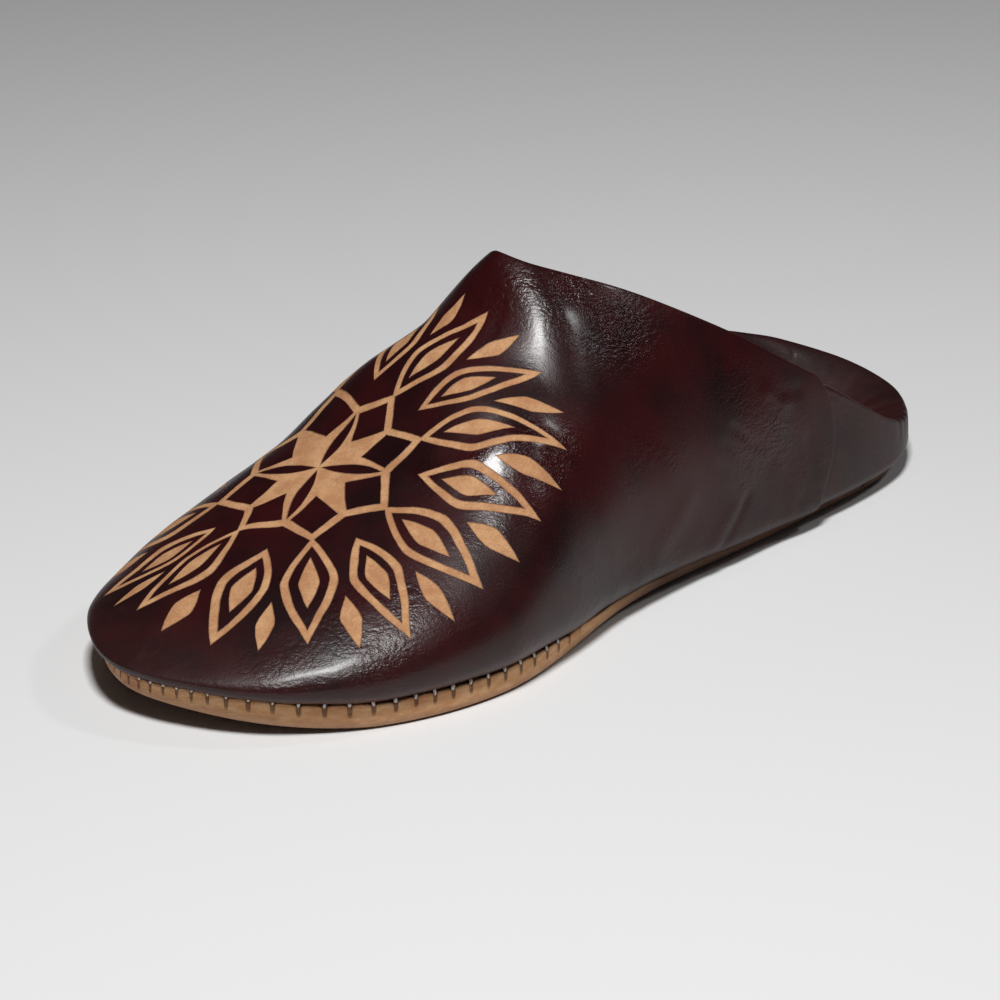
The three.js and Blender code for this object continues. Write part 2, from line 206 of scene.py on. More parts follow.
# Where the section at u reaches the collar, less a drop that the fold's radius takes.
def collarRho(side, u, drop):
    steps = 60
    inside = np.zeros(len(u))
    found = np.zeros(len(u), bool)
    for i in range(steps, -1, -1):
        point = wallPoint(side, u, np.full(len(u), i / steps))
        above = (point[:, 2] > collarHeight(point) - drop) & ~found
        inside[above] = i / steps
        found |= above
    outside = np.minimum(inside + 1 / steps, 1)
    for _ in range(30):
        middle = (inside + outside) / 2
        point = wallPoint(side, u, middle)
        above = point[:, 2] > collarHeight(point) - drop
        inside = np.where(above, middle, inside)
        outside = np.where(above, outside, middle)
    return np.where(found, inside, 0)


def solveU(valueAt, target):
    low, high = 0.0, 1.0
    for _ in range(40):
        middle = (low + high) / 2
        if valueAt(np.array([middle]))[0] < target:
            low = middle
        else:
            high = middle
    return low


peakU = solveU(lambda u: ridgeFoot(u)[:, 1], yAt(slipper["peakAlong"]))
lapY = yAt(slipper["lapAlong"])
lapU = solveU(lambda u: (edge(1, u, 0 * u)[:, 1] + edge(-1, u, 0 * u)[:, 1]) / 2, lapY)
lapEnd = lapU + slipper["lapPast"] / heelRun
insoleTop = slipper["floor"] + slipper["gap"] + slipper["insole"]
flapRest = insoleTop + slipper["gap"] + slipper["wall"]
heelHalf = edge(1, np.array([lapU]), last("bulge", np.array([lapY])))[0, 0]

# The frame's origin is the middle of the footprint, so everything is moved onto it.
soleLow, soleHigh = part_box("outsole")
toFrame = np.array([soleHigh[0] / millimetre - outline[:, 0].max(),
                    soleLow[1] / millimetre - outline[:, 1].min(), 0])
print("slipper's own axes meet the frame at", np.round(toFrame, 3))


# Lower part of each section: hidden bottom edge, seam, and the bulge up to the widest line.
def footRows(side, u, count):
    tucked = -(slipper["rimWidth"] + slipper["gap"])
    foot = edge(side, u, np.full(len(u), tucked))
    y = foot[:, 1]
    bottom = np.column_stack([foot, slipper["floor"] + slipper["gap"] + lift(y)])
    seamZ = last("rim", y) + slipper["seamGap"] + lift(y)
    rows = [bottom, np.column_stack([foot, (bottom[:, 2] + seamZ) / 2]), np.column_stack([foot, seamZ])]
    out = last("bulge", y)
    widest = wallPoint(side, u, np.ones(len(u)))[:, 2]
    for i in range(1, count + 1):
        angle = math.pi / 2 * i / count
        plan = edge(side, u, tucked + (out - tucked) * math.sin(angle))
        rows.append(np.column_stack([plan, widest - (widest - seamZ) * math.cos(angle)]))
    return rows


def leanedTop(u):
    onLap = np.exp(-(((u - lapU) / slipper["lapReach"]) ** 2))
    return np.minimum(u + slipper["lapLean"] / heelRun * onLap, u + (1 - u) * 0.5)


def wallRows(side, u, topU, top, count):
    onLap = np.exp(-(((u - lapU) / slipper["lapReach"]) ** 2)) * (1 - u) / (1 - lapU)
    rows = []
    for i in range(1, count + 1):
        share = i / count
        rho = 1 - (1 - top) * (1 - math.cos(math.pi / 2 * share))
        bow = slipper["lapBow"] / heelRun * onLap * math.sin(math.pi * share)
        rows.append(wallPoint(side, u + (topU - u) * share + bow, rho))
    return rows


# Welds columns of points into one open surface.
def weave(grid, closed):
    columns, rows = grid.shape[:2]
    ids = np.arange(columns * rows).reshape(columns, rows)
    after = np.roll(ids, -1, axis=0) if closed else ids[1:]
    here = ids if closed else ids[:-1]
    a, b, c, d = here[:, :-1], after[:, :-1], after[:, 1:], here[:, 1:]
    halves = [np.stack(corners, axis=-1).reshape(-1, 3) for corners in ((a, b, c), (a, c, d))]
    corners = np.concatenate(halves)
    flat = grid.reshape(-1, 3)
    _, first, weld = np.unique(np.round(flat, 3), axis=0, return_index=True, return_inverse=True)
    weld = weld.reshape(-1)
    faces = weld[corners]
    keep = (faces[:, 0] != faces[:, 1]) & (faces[:, 1] != faces[:, 2]) & (faces[:, 2] != faces[:, 0])
    return flat[first], faces[keep], first


# A woven surface with its folds and dents, and the normals it had before them.
def dentedSurface(grid):
    points, faces, first = weave(grid, False)
    normals = meanNormals(points, faces)
    return points + normals * dented(points)[:, None], faces, normals, first


def meanNormals(points, faces):
    total = np.zeros(points.shape)
    corners = points[faces]
    normal = np.cross(corners[:, 1] - corners[:, 0], corners[:, 2] - corners[:, 0])
    normal /= np.maximum(np.linalg.norm(normal, axis=1, keepdims=True), 1e-12)
    for k in range(3):
        one = corners[:, (k + 1) % 3] - corners[:, k]
        two = corners[:, (k + 2) % 3] - corners[:, k]
        size = np.linalg.norm(one, axis=1) * np.linalg.norm(two, axis=1)
        angle = np.arccos(np.clip((one * two).sum(axis=1) / np.maximum(size, 1e-12), -1, 1))
        np.add.at(total, faces[:, k], normal * angle[:, None])
    return total / np.maximum(np.linalg.norm(total, axis=1, keepdims=True), 1e-12)


def addObject(name, data):
    made = bpy.data.objects.new(name, data)
    bpy.context.scene.collection.objects.link(made)
    return made


def makePiece(name, points, faces, material):
    mesh = bpy.data.meshes.new(name)
    mesh.from_pydata(((points + toFrame) * millimetre).tolist(), [], faces.tolist())
    mesh.validate()
    mesh.shade_smooth()
    mesh.materials.append(material)
    piece = addObject(name, mesh)
    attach(piece, "root")
    print(name, len(faces), "triangles")
    return piece


def addLayer(piece, name, values):
    values = np.asarray(values, float)
    kind = "FLOAT" if values.ndim == 1 else "FLOAT_VECTOR"
    layer = piece.data.attributes.new(name, kind, "POINT")
    layer.data.foreach_set("value" if kind == "FLOAT" else "vector", values.ravel())


cutEdge = {"steps": 5, "round": 0.8}


# A leather skin between two offsets from a surface, with rounded edges. Returns its
# points and faces, and for each point 1 on the outer face and 0 elsewhere.
def makeSkin(points, faces, normals, outer, inner):
    count = len(points)
    top = points + normals * np.broadcast_to(outer, count)[:, None]
    bottom = points + normals * np.broadcast_to(inner, count)[:, None]
    pairs = np.concatenate([faces[:, [0, 1]], faces[:, [1, 2]], faces[:, [2, 0]]])
    loose = pairs[~np.isin(pairs[:, 0] * count + pairs[:, 1], pairs[:, 1] * count + pairs[:, 0])]
    tangent = np.zeros((count, 3))
    along = points[loose[:, 1]] - points[loose[:, 0]]
    np.add.at(tangent, loose[:, 0], along)
    np.add.at(tangent, loose[:, 1], along)
    rim = np.unique(loose)
    outward = np.cross(tangent[rim], normals[rim])
    outward /= np.maximum(np.linalg.norm(outward, axis=1, keepdims=True), 1e-12)
    middle = (top[rim] + bottom[rim]) / 2
    half = (top[rim] - bottom[rim]) / 2
    radius = np.linalg.norm(half, axis=1, keepdims=True)
    place = np.zeros(count, int)
    place[rim] = np.arange(len(rim))
    rings = [loose]
    parts = [top, bottom]
    for step in range(1, cutEdge["steps"]):
        angle = math.pi * step / cutEdge["steps"]
        parts.append(middle + half * math.cos(angle) + outward * radius * cutEdge["round"] * math.sin(angle))
        rings.append(place[loose] + 2 * count + (step - 1) * len(rim))
    rings.append(loose + count)
    strips = []
    for one, two in zip(rings, rings[1:]):
        p, q, r, s = one[:, 0], one[:, 1], two[:, 0], two[:, 1]
        strips += [np.column_stack([q, p, r]), np.column_stack([q, r, s])]
    allFaces = np.concatenate([faces, faces[:, ::-1] + count] + strips)
    onOuter = np.concatenate([np.ones(count), np.zeros(sum(len(part) for part in parts[1:]))])
    return np.concatenate(parts), allFaces, onOuter


def addNode(tree, kind, settings, inputs):
    made = tree.nodes.new(kind)
    for key, value in settings.items():
        setattr(made, key, value)
    for key, value in inputs.items():
        if isinstance(value, bpy.types.NodeSocket):
            tree.links.new(value, made.inputs[key])
        else:
            made.inputs[key].default_value = value
    return made


# A socket that takes part in arithmetic: an expression on it adds its Math nodes.
class Wire:
    def __init__(self, finish, socket):
        self.finish = finish
        self.socket = socket

    def __add__(self, other):
        return self.finish.maths("ADD", self, other)

    def __sub__(self, other):
        return self.finish.maths("SUBTRACT", self, other)

    def __mul__(self, other):
        return self.finish.maths("MULTIPLY", self, other)

    def __truediv__(self, other):
        return self.finish.maths("DIVIDE", self, other)

    def __pow__(self, other):
        return self.finish.maths("POWER", self, other)

    def __rsub__(self, other):
        return self.finish.maths("SUBTRACT", other, self)

    def __neg__(self):
        return self.finish.maths("MULTIPLY", self, -1)

    __radd__ = __add__
    __rmul__ = __mul__


# One material: node() makes every node, the other methods are short names for it.
class Finish:
    def __init__(self, name, constants):
        self.material = bpy.data.materials.new(name)
        self.material.use_nodes = True
        self.tree = self.material.node_tree
        self.tree.nodes.clear()
        output = self.tree.nodes.new("ShaderNodeOutputMaterial")
        self.shader = self.tree.nodes.new("ShaderNodeBsdfPrincipled")
        self.tree.links.new(self.shader.outputs[0], output.inputs[0])
        for socket, value in constants.items():
            self.shader.inputs[socket].default_value = value

    def node(self, kind, settings, inputs, output=0):
        sockets = {key: value.socket if isinstance(value, Wire) else value for key, value in inputs.items()}
        return Wire(self, addNode(self.tree, kind, settings, sockets).outputs[output])

    def maths(self, operation, *values):
        return self.node("ShaderNodeMath", {"operation": operation}, dict(enumerate(values)))

    def least(self, *values):
        result = values[0]
        for value in values[1:]:
            result = self.maths("MINIMUM", result, value)
        return result

    def most(self, *values):
        result = values[0]
        for value in values[1:]:
            result = self.maths("MAXIMUM", result, value)
        return result

    def size(self, value):
        return self.maths("ABSOLUTE", value)

    # 0 below low, 1 above high, smooth between.
    def step(self, value, low, high):
        inputs = {"Value": value, "From Min": low, "From Max": high}
        return self.node("ShaderNodeMapRange", {"interpolation_type": "SMOOTHSTEP"}, inputs)

    def scaled(self, vector, factor):
        return self.node("ShaderNodeVectorMath", {"operation": "MULTIPLY"}, {0: vector, 1: factor})

    def moved(self, vector, other):
        return self.node("ShaderNodeVectorMath", {"operation": "ADD"}, {0: vector, 1: other})

    # Object coordinates in millimetres.
    def place(self):
        spot = self.node("ShaderNodeTexCoord", {}, {}, "Object")
        return self.scaled(spot, (1000, 1000, 1000))

    def split(self, vector):
        made = self.node("ShaderNodeSeparateXYZ", {}, {0: vector})
        outputs = made.socket.node.outputs
        return [Wire(self, outputs[k]) for k in range(3)]

    def layer(self, name, output="Fac"):
        return self.node("ShaderNodeAttribute", {"attribute_name": name}, {}, output)

    # Noise whose feature size is given in the vector's own unit.
    def noise(self, vector, feature, detail=2, roughness=0.5, output="Fac"):
        inputs = {"Vector": vector, "Scale": 1 / feature, "Detail": detail, "Roughness": roughness}
        return self.node("ShaderNodeTexNoise", {}, inputs, output)

    def cells(self, vector, feature):
        return self.node("ShaderNodeTexVoronoi", {"feature": "F1"}, {"Vector": vector, "Scale": 1 / feature})

    # One colour where the mask is 0, the other where it is 1.
    def colour(self, mask, one, two):
        shades = [shade if isinstance(shade, Wire) else (*shade, 1) for shade in (one, two)]
        return self.node("ShaderNodeMix", {"data_type": "RGBA"}, {0: mask, 6: shades[0], 7: shades[1]}, 2)

    # height is in millimetres.
    def bump(self, height):
        return self.node("ShaderNodeBump", {}, {"Height": height, "Distance": millimetre, "Strength": 1.0})

    def done(self, links):
        for socket, wire in links.items():
            self.tree.links.new(wire.socket, self.shader.inputs[socket])
        return self.material


# sRGB 0 to 255, as read off the photograph, to the shader's linear colour.
def tint(red, green, blue):
    def linear(value):
        value /= 255
        return value / 12.92 if value <= 0.04045 else ((value + 0.055) / 1.055) ** 2.4
    return linear(red), linear(green), linear(blue)


# The carved rosette, in millimetres from its centre. Sixteen leaves alternate between
# eight that stand on the star's points and eight that float.
rosette = {
    "centre": (-13.6, -65.5, 42.2), "normal": (-0.04, -0.427, 0.904),
    "starPoint": 28.6, "starNotch": 21.6,
    "lozenge": {"middle": 18.4, "long": 7.1, "wide": 6.4},
    "dart": {"start": 1.0, "tip": 19.0, "wide": 1.5},
    "standing": {"start": 27.2, "tip": 62.5, "wide": 7.5},
    "floating": {"start": 29.7, "tip": 62.5, "wide": 6.6},
    "leafLine": {"start": 3.1, "tip": 4.4, "wide": 2.3},
    "kernel": {"start": 6.8, "tip": 11.0, "wide": 2.7},
    "spark": {"start": 48.0, "tip": 63.5, "wide": 2.6},
    "wander": 0.5, "fray": 0.12, "depth": 0.3,
}
# Where the maker's spokes came to lie round the instep, in degrees from the toe.
spokeRows = {
    "spoke": [-22.5, 0, 22.5, 45, 67.5, 90, 112.5, 135, 157.5, 180, 202.5, 225, 270, 315],
    "lies": [-17, -2, 23, 44, 65, 86, 110.5, 132, 149, 169, 190, 218, 270, 318],
    "reach": [1.0, 0.97, 1.03, 1.0, 1.04, 0.98, 0.97, 1.0, 0.97, 0.94, 0.94, 1.05, 1.0, 1.0],
}
lastSpoke = max(spokeRows["lies"])


def rosettePlace(points):
    normal = np.array(rosette["normal"])
    normal /= np.linalg.norm(normal)
    across = np.array([1.0, 0, 0]) - normal * normal[0]
    across /= np.linalg.norm(across)
    heelward = np.cross(normal, across)
    away = points + toFrame - np.array(rosette["centre"])
    angles = np.degrees(np.arctan2(away @ across, -(away @ heelward)))
    spokes = [spoke - 360 for spoke in spokeRows["spoke"]] + spokeRows["spoke"]
    lies = [angle - 360 for angle in spokeRows["lies"]] + spokeRows["lies"]
    spoke = monotone(lies, spokes)(np.where(angles > lastSpoke, angles - 360, angles))
    reach = monotone(spokes, spokeRows["reach"] * 2)(spoke)
    radius = np.linalg.norm(away, axis=1) / reach
    turn = np.radians(spoke)
    return radius * np.cos(turn), radius * np.sin(turn)


# Millimetres inside a leaf (positive) or outside it, in the leaf's own x and y.
def leaf(finish, x, y, start, tip, wide, fullest=0.42, power=1.48):
    t = (x - start) / (tip - start)
    beyond = finish.most((fullest - t) / fullest, (t - fullest) / (1 - fullest))
    return (1 - finish.most(beyond, 0) ** power) * wide - y


# Millimetres inside the carved-away leather of the rosette.
def carvedLeather(finish, across, up):
    radius = (across * across + up * up) ** 0.5
    angle = finish.maths("ARCTAN2", up, across)
    eighth = math.radians(22.5)

    def along(turn):
        return radius * finish.maths("COSINE", turn), radius * finish.maths("SINE", turn)

    standing = finish.maths("PINGPONG", angle, eighth)
    x, y = along(standing)
    point, notch = rosette["starPoint"], rosette["starNotch"]
    notchX, notchY = notch * math.cos(eighth), notch * math.sin(eighth)
    slant = math.hypot(notchY, point - notchX)
    star = ((point - x) * (notchY / slant)) - y * ((point - notchX) / slant)
    lozenge = rosette["lozenge"]
    tile = finish.size(x - lozenge["middle"]) / lozenge["long"] + y / lozenge["wide"]
    tile = (1 - tile) * (lozenge["wide"] * 0.75)
    dart = rosette["dart"]
    dartX, dartY = along(finish.maths("PINGPONG", angle - eighth, 2 * eighth))
    needle = leaf(finish, dartX, dartY, dart["start"], dart["tip"], dart["wide"], 0.5, 1.9)
    carved = finish.least(star, -tile, -needle)

    line, kernel = rosette["leafLine"], rosette["kernel"]
    for name, turn in (("standing", standing), ("floating", eighth - standing)):
        form = rosette[name]
        x, y = along(turn)
        outer = leaf(finish, x, y, form["start"], form["tip"], form["wide"])
        inner = leaf(finish, x, y, form["start"] + line["start"], form["tip"] - line["tip"],
                     form["wide"] - line["wide"])
        heart = leaf(finish, x, y, form["start"] + kernel["start"], form["tip"] - kernel["tip"],
                     kernel["wide"], 0.5, 1.4)
        carved = finish.most(carved, finish.least(outer, -inner), heart)
    spark = rosette["spark"]
    x, y = along(finish.size(standing - eighth / 2))
    return finish.most(carved, leaf(finish, x, y, spark["start"], spark["tip"], spark["wide"], 0.48, 1.4))


leather = {
    "dark": tint(52, 11, 13), "black": tint(28, 8, 10), "dustySheen": tint(58, 36, 32),
    "flesh": tint(216, 168, 122), "fleshDark": tint(184, 130, 90), "cut": tint(58, 32, 24),
    "speck": tint(150, 106, 76), "pore": 0.55, "crinkle": 1.5, "patch": 17, "cloud": 28, "fold": 2.6,
    "fibre": 0.9, "speckle": 0.5, "poreDeep": 0.018, "fibreDeep": 0.2,
}
# What the leather is like all over, and what each kind of place adds to it.
crinkleDeep = {"all": 0.03, "patches": 0.08, "pulled": 0.3}
foldDeep = {"pulled": 0.2, "patches": 0.03, "wornAndSheen": 0.03}
dullness = {"all": 0.34, "pulled": -0.16, "patches": -0.06, "wornAndSheen": 0.2, "pores": 0.08,
            "flesh": 0.85, "cut": 0.6}
glaze = {"all": 0.12, "pulled": 0.3, "wornAndSheen": -0.12}


# Glazed goatskin: pores, crinkles where it has been pulled over the last, a dusty tone low on
# the side that is wear and painted sheen of the pale floor, and the rosette cut through to the pale flesh
# side.
def glazedLeather(name, carved):
    finish = Finish(name, {"Coat Roughness": 0.16, "IOR": 1.4, "Coat IOR": 1.45})
    spot = finish.place()
    face = finish.layer("face")
    wornAndSheen = finish.layer("wornAndSheen")
    pulled = finish.layer("pulled")
    pores = finish.cells(finish.moved(spot, finish.noise(spot, 3, output="Color")), leather["pore"])
    crinkle = finish.noise(spot, leather["crinkle"], 4, 0.62)
    folds = finish.noise(finish.scaled(spot, (0.75, 0.75, 1.5)), leather["fold"], 3, 0.55)
    folds = finish.most(1 - finish.size(folds - 0.5) * 7, 0)
    patches = finish.step(finish.noise(spot, leather["patch"], 3, 0.55), 0.46, 0.68)
    cloud = finish.noise(spot, leather["cloud"], 3, 0.6)
    scuff = finish.step(finish.noise(finish.scaled(spot, (1, 0.35, 1)), 5, 5, 0.7), 0.5, 0.78)
    skin = finish.colour(finish.step(cloud, 0.35, 0.7), leather["dark"], leather["black"])
    # Painted sheen: the dusty tone lightens the leather where the pale floor would reflect in it, broken by
    # scuffs of wear.
    dustAndSheen = finish.least(wornAndSheen * (0.3 + scuff * 0.7), 1)
    skin = finish.colour(dustAndSheen, skin, leather["dustySheen"])
    places = {"pulled": pulled, "patches": patches, "wornAndSheen": wornAndSheen, "pores": finish.step(pores, 0.4, 0.1)}

    def mixed(amounts):
        total = amounts.get("all", 0)
        for place, value in places.items():
            if place in amounts:
                total = value * amounts[place] + total
        return total

    height = finish.step(pores, 0.0, 0.5) * leather["poreDeep"] + crinkle * mixed(crinkleDeep)
    height = height - folds * mixed(foldDeep)
    roughness = mixed(dullness)
    coat = finish.most(mixed(glaze), 0)
    if carved:
        across, up, _ = finish.split(finish.layer("rosette", "Vector"))
        drift = finish.noise(spot, 9, 1)
        swing = finish.noise(finish.moved(spot, (31, 17, 5)), 9, 1)
        across = across + (drift - 0.5) * (2 * rosette["wander"])
        up = up + (swing - 0.5) * (2 * rosette["wander"])
        fray = (finish.noise(spot, 0.9, 3, 0.6) - 0.5) * (2 * rosette["fray"])
        depth = carvedLeather(finish, across, up) + fray
        cut = finish.step(depth, -0.06, 0.1) * face
        fibre = finish.noise(finish.scaled(spot, (1.6, 0.7, 1.2)), leather["fibre"], 5, 0.75)
        stain = finish.noise(spot, 6, 3, 0.6)
        blotch = finish.step(stain * 0.6 + fibre * 0.4, 0.36, 0.68)
        flesh = finish.colour(blotch, leather["fleshDark"], leather["flesh"])
        specks = 1 - finish.step(finish.cells(spot, leather["speckle"]), 0.12, 0.34)
        flesh = finish.colour(specks * 0.55, flesh, leather["speck"])
        edgeDark = (1 - finish.step(depth, 0.0, 0.5)) * 0.45
        flesh = finish.colour(edgeDark, flesh, leather["speck"])
        skin = finish.colour(cut, skin, flesh)
        floor = finish.step(depth, -0.12, 0.3) * face
        height = height * (1 - cut) + cut * fibre * leather["fibreDeep"] - floor * rosette["depth"]
        roughness = roughness * (1 - cut) + cut * dullness["flesh"]
        coat = coat * (1 - cut)
    skin = finish.colour(face, leather["cut"], skin)
    roughness = roughness * face + (1 - face) * dullness["cut"]
    return finish.done({"Base Color": skin, "Roughness": roughness, "Coat Weight": coat * face,
                        "Normal": finish.bump(height)})


lining = {"pale": tint(176, 130, 92), "dark": tint(132, 90, 60), "fibre": 0.8}
insoleShades = {"pale": tint(150, 100, 66), "dark": tint(112, 70, 44), "fibre": 0.9}


# Plain undyed leather for the lining and the insole.
def plainLeather(name, shades):
    finish = Finish(name, {"IOR": 1.45})
    spot = finish.place()
    fibre = finish.noise(spot, shades["fibre"], 5, 0.7)
    stain = finish.noise(spot, 22, 4, 0.6)
    pores = finish.cells(spot, 0.7)
    shade = finish.colour(finish.step(stain * 0.7 + fibre * 0.3, 0.35, 0.68), shades["dark"], shades["pale"])
    height = fibre * 0.08 + finish.step(pores, 0, 0.5) * 0.03
    return finish.done({"Base Color": shade, "Roughness": 0.62 + stain * 0.2, "Normal": finish.bump(height)})


# Creases as soft troughs (negative) or ridges, in the frame's millimetres. One that is seen
# from the side is laid out by its place along the slipper and its height, on the outer side,
# one seen from the top by its place across and along.
creases = [
    {"seen": "top", "from": (9, -60), "to": (26, -46), "wide": 1.6, "deep": 0.3},
    {"seen": "top", "from": (22, -49), "to": (32, -24), "wide": 2.2, "deep": 0.45},
    {"seen": "top", "from": (26, -54), "to": (37, -32), "wide": 2.2, "deep": -0.35},
    {"seen": "top", "from": (18, -44), "to": (25, -28), "wide": 2.4, "deep": -0.25},
    {"seen": "side", "from": (41, 20), "to": (30, 8), "wide": 1.5, "deep": -0.45},
    {"seen": "side", "from": (36, 19), "to": (25, 9), "wide": 2.6, "deep": 0.3},
    {"seen": "side", "from": (37, 39), "to": (47, 30), "wide": 1.3, "deep": -0.25},
    {"seen": "side", "from": (33, 36), "to": (42, 27), "wide": 1.2, "deep": -0.18},
    {"seen": "side", "from": (30, 31), "to": (38, 23), "wide": 1.2, "deep": -0.16},
    {"seen": "side", "from": (51, 45), "to": (60, 38), "wide": 2.2, "deep": 0.3},
    {"seen": "side", "from": (55, 42), "to": (66, 41), "wide": 2.0, "deep": -0.14},
    {"seen": "side", "from": (57, 34), "to": (64, 24), "wide": 1.9, "deep": -0.14},
    {"seen": "side", "from": (60, 31), "to": (65, 22), "wide": 1.0, "deep": -0.16},
    {"seen": "side", "from": (52, 24), "to": (60, 13), "wide": 3.0, "deep": 0.35},
    {"seen": "side", "from": (66, 28), "to": (69, 12), "wide": 1.8, "deep": -0.3},
    {"seen": "side", "from": (2, 14), "to": (18, 26), "wide": 3.5, "deep": 0.3},
]
# Fine pleats run down the ridge from the throat's peak.
for pleat in range(8):
    across = -16 + pleat * 2.3
    high, low = (across, -11 - pleat * 0.6), (across + 3.5, -31 + pleat * 0.5)
    deep = -0.28 if pleat % 2 else -0.2
    creases.append({"seen": "top", "from": high, "to": low, "wide": 0.75, "deep": deep})
# The back puckers where it turns over at the heel: degrees round from the heel's middle.
puckers = {
    "turn": [-62, -38, -18, 2, 18, 31, 43, 55, 68],
    "deep": [-0.3, -0.45, -0.4, -0.5, -0.75, -0.9, -0.8, -0.6, -0.45],
    "middle": (0, 104), "starts": (8, 11), "ends": 26, "wide": 1.3, "share": 0.55,
}
for pucker, (turn, deep) in enumerate(zip(puckers["turn"], puckers["deep"])):
    way = np.array([math.sin(math.radians(turn)), math.cos(math.radians(turn))])
    start, end = (puckers["middle"] + way * away for away in (puckers["starts"][pucker % 2], puckers["ends"]))
    creases.append({"seen": "top", "from": start, "to": end, "wide": puckers["wide"],
                    "deep": deep * puckers["share"]})


# Where the glaze is crackled and shines.
crackles = [
    {"at": (11, 2, 77), "reach": 13, "much": 1.0}, {"at": (21, 11, 66), "reach": 9, "much": 0.5},
    {"at": (32, -31, 50), "reach": 10, "much": 1.0}, {"at": (25, -44, 49), "reach": 6, "much": 0.6},
    {"at": (14, -55, 46), "reach": 4, "much": 0.5}, {"at": (42, -94, 19), "reach": 10, "much": 0.45},
    {"at": (32, -112, 16), "reach": 12, "much": 0.3}, {"at": (38, -80, 28), "reach": 8, "much": 0.35},
    {"at": (30, 50, 34), "reach": 14, "much": 0.3}, {"at": (-5, -18, 78), "reach": 10, "much": 0.35},
]


def pulledTight(points):
    spot = points + toFrame
    total = np.zeros(len(points))
    for patch in crackles:
        gap = np.linalg.norm(spot - np.array(patch["at"]), axis=1) / patch["reach"]
        total += patch["much"] * np.exp(-gap ** 2 * 1.3)
    return np.clip(total, 0, 1)


ripples = [{"wavelength": 26, "amount": 0.3, "seed": 3}, {"wavelength": 11, "amount": 0.1, "seed": 5}]
wavesEach = 7


# Slight unevenness of a hand-lasted skin.
def ripple(spot, wavelength, amount, seed):
    chance = np.random.default_rng(seed)
    total = np.zeros(len(spot))
    for _ in range(wavesEach):
        way = chance.normal(size=3)
        way *= 2 * math.pi / wavelength / np.linalg.norm(way) * chance.uniform(0.7, 1.3)
        total += np.sin(spot @ way + chance.uniform(0, 6.3))
    return total * amount / wavesEach


def dented(points):
    spot = points + toFrame
    total = sum(ripple(spot, **wave) for wave in ripples)
    for crease in creases:
        plane = (1, 2) if crease["seen"] == "side" else (0, 1)
        flat = spot[:, plane]
        start = np.array(crease["from"], float)
        way = np.array(crease["to"], float) - start
        t = (flat - start) @ way / (way @ way)
        near = start + np.clip(t, 0, 1)[:, None] * way
        gap = np.linalg.norm(flat - near, axis=1) / crease["wide"]
        fade = 1 - smoothstep(np.abs(t - 0.5), 0.3, 0.75)
        here = smoothstep(spot[:, 0], 5, 15) if crease["seen"] == "side" else smoothstep(spot[:, 2], 10, 14)
        total += crease["deep"] * np.exp(-gap ** 2) * fade * here
    return total


vamp = {"front": 150, "side": 80, "bulge": 12, "wall": 60, "leather": 1.1, "corner": 5, "cornerDrop": 0.8}


def vampRing(front, side, endU):
    forward = np.concatenate([peakU * np.arange(front) / front, np.linspace(peakU, endU, side + 1)])
    u = np.concatenate([forward[:0:-1], forward])
    sides = np.concatenate([np.full(len(forward) - 1, -1.0), np.ones(len(forward))])
    return sides, u


def vampGrid(front, side, endU, bulge, wall, short):
    sides, u = vampRing(front, side, endU)
    topU = leanedTop(u)
    top = np.zeros(len(u))
    for s in (-1.0, 1.0):
        pick = (sides == s) & (u > peakU + 1e-9)
        corner = np.clip(1 - (lapU - u[pick]) * heelRun / vamp["corner"], 0, 1)
        top[pick] = collarRho(s, topU[pick], short + vamp["corner"] * vamp["cornerDrop"] * corner ** 3)
    columns = []
    for s in (-1.0, 1.0):
        pick = sides == s
        rows = footRows(s, u[pick], bulge) + wallRows(s, u[pick], topU[pick], top[pick], wall)
        columns.append(np.stack(rows, axis=1))
    return np.concatenate(columns), u


# How far the vamp stands proud of the back piece where it laps over it.
def proudOf(u, rows, bulge, first):
    aboveSeam = smoothstep(np.arange(rows)[None, :], 3, 2 + bulge)
    share = smoothstep(u, lapU - slipper["lapBlend"], lapU)[:, None] * aboveSeam
    return (share * slipper["lapStep"]).reshape(-1)[first]


# Where the leather is worn and where a painted reflection of the pale floor lightens it: low on the outer
# side, at the toe and low at the heel.
def wearAndFloorSheen(points):
    spot = points + toFrame
    low = 1 - smoothstep(spot[:, 2], 12, 34)
    side = smoothstep(spot[:, 1], -60, 10) * smoothstep(spot[:, 0], 5, 25)
    toe = 1 - smoothstep(spot[:, 1], -134, -112)
    heel = smoothstep(spot[:, 1], 40, 80) * (1 - smoothstep(spot[:, 2], 25, 55)) * 0.5
    return np.clip(low * (0.35 + side * 0.6) + toe * 0.4 + heel, 0, 1)


# The glazed leather reads where its outer face, its wear with its painted floor sheen, and its crackle are.
def addGlaze(piece, skin, onOuter, wearAndSheen):
    addLayer(piece, "face", onOuter)
    addLayer(piece, "wornAndSheen", wearAndFloorSheen(skin) * wearAndSheen)
    addLayer(piece, "pulled", pulledTight(skin))


def makeVamp(material):
    grid, u = vampGrid(vamp["front"], vamp["side"], lapU, vamp["bulge"], vamp["wall"], 0.0)
    points, faces, _, first = dentedSurface(grid)
    normals = meanNormals(points, faces)
    proud = proudOf(u, grid.shape[1], vamp["bulge"], first)
    skin, allFaces, onOuter = makeSkin(points, faces, normals, proud, proud - vamp["leather"])
    piece = makePiece("vamp", skin, allFaces, material)
    across, up = rosettePlace(skin)
    addLayer(piece, "rosette", np.column_stack([across, up, 0 * up]))
    addGlaze(piece, skin, onOuter, 1)
    return piece


vampLining = {"front": 80, "side": 40, "bulge": 6, "wall": 36, "short": 1.2, "endsBefore": 7.5,
              "thick": 0.45, "under": 0.03, "inside": 0.02}


